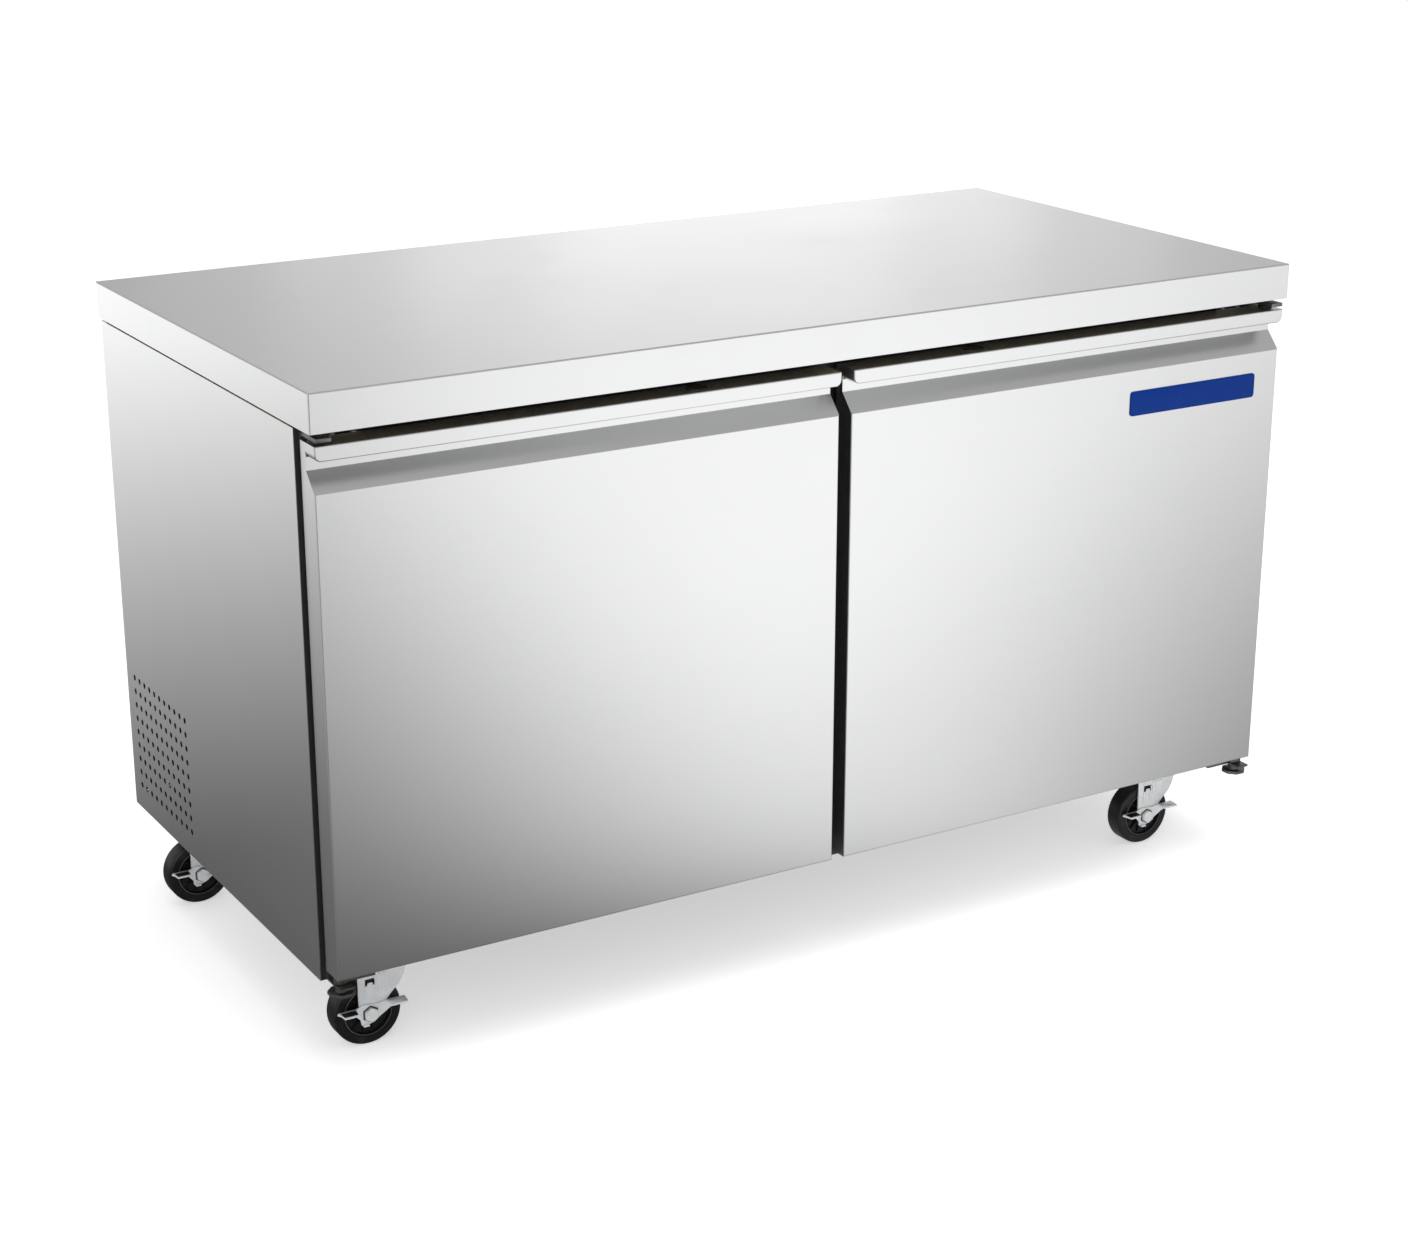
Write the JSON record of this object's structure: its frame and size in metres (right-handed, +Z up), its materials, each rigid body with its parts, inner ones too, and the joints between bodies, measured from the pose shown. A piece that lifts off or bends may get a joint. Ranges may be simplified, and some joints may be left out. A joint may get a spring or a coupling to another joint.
{
  "type": "undercounter refrigerator",
  "caption": "Stainless undercounter refrigerator with a flat worktop, side-hinged self-closing doors with a full-width lip handle, rear machine compartment and braked swivel casters.",
  "frame": {"origin": "on the floor, under the middle of the worktop", "axes": "+X to the right when facing the doors, +Y to the back, +Z up"},
  "size_m": [1.53, 0.762, 0.914],
  "materials": {
    "stainless": "satin",
    "galvanized": "satin",
    "liner_aluminium": "satin",
    "foam": "matte",
    "black_plastic": "satin",
    "gasket": "matte",
    "zinc": "satin",
    "tyre": "satin",
    "badge_blue": "gloss",
    "black_steel": "gloss",
    "coil_aluminium": "satin",
    "copper": "satin",
    "grey_plastic": "satin",
    "coated_wire": "satin"
  },
  "bodies": {
    "cabinet": {"worktop": "stainless", "left_side_panel": "stainless", "right_side_panel": "stainless", "back_panel": "galvanized", "base_pan": "galvanized", "rear_grille": "galvanized", "cabinet_foam": "foam", "inner_liner": "liner_aluminium", "breaker_strips": "black_plastic", "center_mullion": "black_plastic", "top_hinge_brackets": "zinc", "bottom_hinge_brackets": "zinc", "spring_adjusters": "zinc", "caster_plates": "zinc", "compressor": "black_steel", "condenser_coil": "coil_aluminium", "condenser_shroud": "galvanized", "condenser_fan_motor": "zinc", "condensate_pan": "galvanized", "electrical_box": "grey_plastic", "cord_gland": "black_plastic", "refrigerant_lines": "copper", "evaporator_cover": "liner_aluminium", "evaporator_coil": "coil_aluminium", "evaporator_fan_motor": "zinc", "thermostat": "grey_plastic", "shelf_pilasters": "stainless", "shelf_clips": "stainless", "wire_shelves": "coated_wire", "fasteners": "zinc"},
    "left_door": {"left_door_skin": "stainless", "left_door_foam": "foam", "left_door_liner": "liner_aluminium", "left_door_gasket": "gasket", "left_door_bushes": "black_plastic"},
    "right_door": {"right_door_skin": "stainless", "right_door_foam": "foam", "right_door_liner": "liner_aluminium", "right_door_gasket": "gasket", "right_door_bushes": "black_plastic", "door_badge": "badge_blue"},
    "condenser_fan": {"condenser_fan_blade": "black_plastic"},
    "evaporator_fan": {"evaporator_fan_blade": "black_plastic"},
    "thermostat_dial": {"thermostat_knob": "black_plastic"},
    "front_left_fork": {"front_left_caster_fork": "zinc", "front_left_caster_axle": "zinc"},
    "front_left_wheel": {"front_left_caster_wheel": "tyre"},
    "front_left_pedal": {"front_left_caster_brake_pedal": "zinc"},
    "front_right_fork": {"front_right_caster_fork": "zinc", "front_right_caster_axle": "zinc"},
    "front_right_wheel": {"front_right_caster_wheel": "tyre"},
    "front_right_pedal": {"front_right_caster_brake_pedal": "zinc"},
    "rear_left_fork": {"rear_left_caster_fork": "zinc", "rear_left_caster_axle": "zinc"},
    "rear_left_wheel": {"rear_left_caster_wheel": "tyre"},
    "rear_left_pedal": {"rear_left_caster_brake_pedal": "zinc"},
    "rear_right_fork": {"rear_right_caster_fork": "zinc", "rear_right_caster_axle": "zinc"},
    "rear_right_wheel": {"rear_right_caster_wheel": "tyre"},
    "rear_right_pedal": {"rear_right_caster_brake_pedal": "zinc"}
  },
  "joints": [
    {"name": "left_door_hinge", "type": "hinge", "parent": "cabinet", "child": "left_door", "pos_m": [-0.747, -0.354, 0.49625], "axis": [0, 0, -1], "range_deg": [0, 115], "stiffness_Nm_per_rad": 3, "springref_deg": -68.75},
    {"name": "right_door_hinge", "type": "hinge", "parent": "cabinet", "child": "right_door", "pos_m": [0.747, -0.354, 0.49625], "axis": [0, 0, 1], "range_deg": [0, 115], "stiffness_Nm_per_rad": 3, "springref_deg": -68.75},
    {"name": "condenser_fan_spin", "type": "hinge", "parent": "cabinet", "child": "condenser_fan", "pos_m": [-0.6275, 0.2395, 0.2315], "axis": [1, 0, 0], "continuous": true},
    {"name": "evaporator_fan_spin", "type": "hinge", "parent": "cabinet", "child": "evaporator_fan", "pos_m": [0, 0.232, 0.702], "axis": [0, 1, 0], "continuous": true},
    {"name": "thermostat_turn", "type": "hinge", "parent": "cabinet", "child": "thermostat_dial", "pos_m": [0.184, 0.216, 0.702], "axis": [0, 1, 0], "range_deg": [0, 270]},
    {"name": "front_left_swivel", "type": "hinge", "parent": "cabinet", "child": "front_left_fork", "pos_m": [-0.655, -0.276, 0.103], "axis": [0, 0, 1], "continuous": true},
    {"name": "front_left_wheel_spin", "type": "hinge", "parent": "front_left_fork", "child": "front_left_wheel", "pos_m": [-0.685, -0.276, 0.048], "axis": [0, 1, 0], "continuous": true},
    {"name": "front_left_brake", "type": "hinge", "parent": "front_left_fork", "child": "front_left_pedal", "pos_m": [-0.685, -0.276, 0.048], "axis": [0, 1, 0], "range_deg": [0, 22]},
    {"name": "front_right_swivel", "type": "hinge", "parent": "cabinet", "child": "front_right_fork", "pos_m": [0.655, -0.276, 0.103], "axis": [0, 0, 1], "continuous": true},
    {"name": "front_right_wheel_spin", "type": "hinge", "parent": "front_right_fork", "child": "front_right_wheel", "pos_m": [0.625, -0.276, 0.048], "axis": [0, 1, 0], "continuous": true},
    {"name": "front_right_brake", "type": "hinge", "parent": "front_right_fork", "child": "front_right_pedal", "pos_m": [0.625, -0.276, 0.048], "axis": [0, 1, 0], "range_deg": [0, 22]},
    {"name": "rear_left_swivel", "type": "hinge", "parent": "cabinet", "child": "rear_left_fork", "pos_m": [-0.685, 0.262, 0.103], "axis": [0, 0, 1], "continuous": true},
    {"name": "rear_left_wheel_spin", "type": "hinge", "parent": "rear_left_fork", "child": "rear_left_wheel", "pos_m": [-0.715, 0.262, 0.048], "axis": [0, 1, 0], "continuous": true},
    {"name": "rear_left_brake", "type": "hinge", "parent": "rear_left_fork", "child": "rear_left_pedal", "pos_m": [-0.715, 0.262, 0.048], "axis": [0, 1, 0], "range_deg": [0, 22]},
    {"name": "rear_right_swivel", "type": "hinge", "parent": "cabinet", "child": "rear_right_fork", "pos_m": [0.685, 0.262, 0.103], "axis": [0, 0, 1], "continuous": true},
    {"name": "rear_right_wheel_spin", "type": "hinge", "parent": "rear_right_fork", "child": "rear_right_wheel", "pos_m": [0.655, 0.262, 0.048], "axis": [0, 1, 0], "continuous": true},
    {"name": "rear_right_brake", "type": "hinge", "parent": "rear_right_fork", "child": "rear_right_pedal", "pos_m": [0.655, 0.262, 0.048], "axis": [0, 1, 0], "range_deg": [0, 22]}
  ]
}
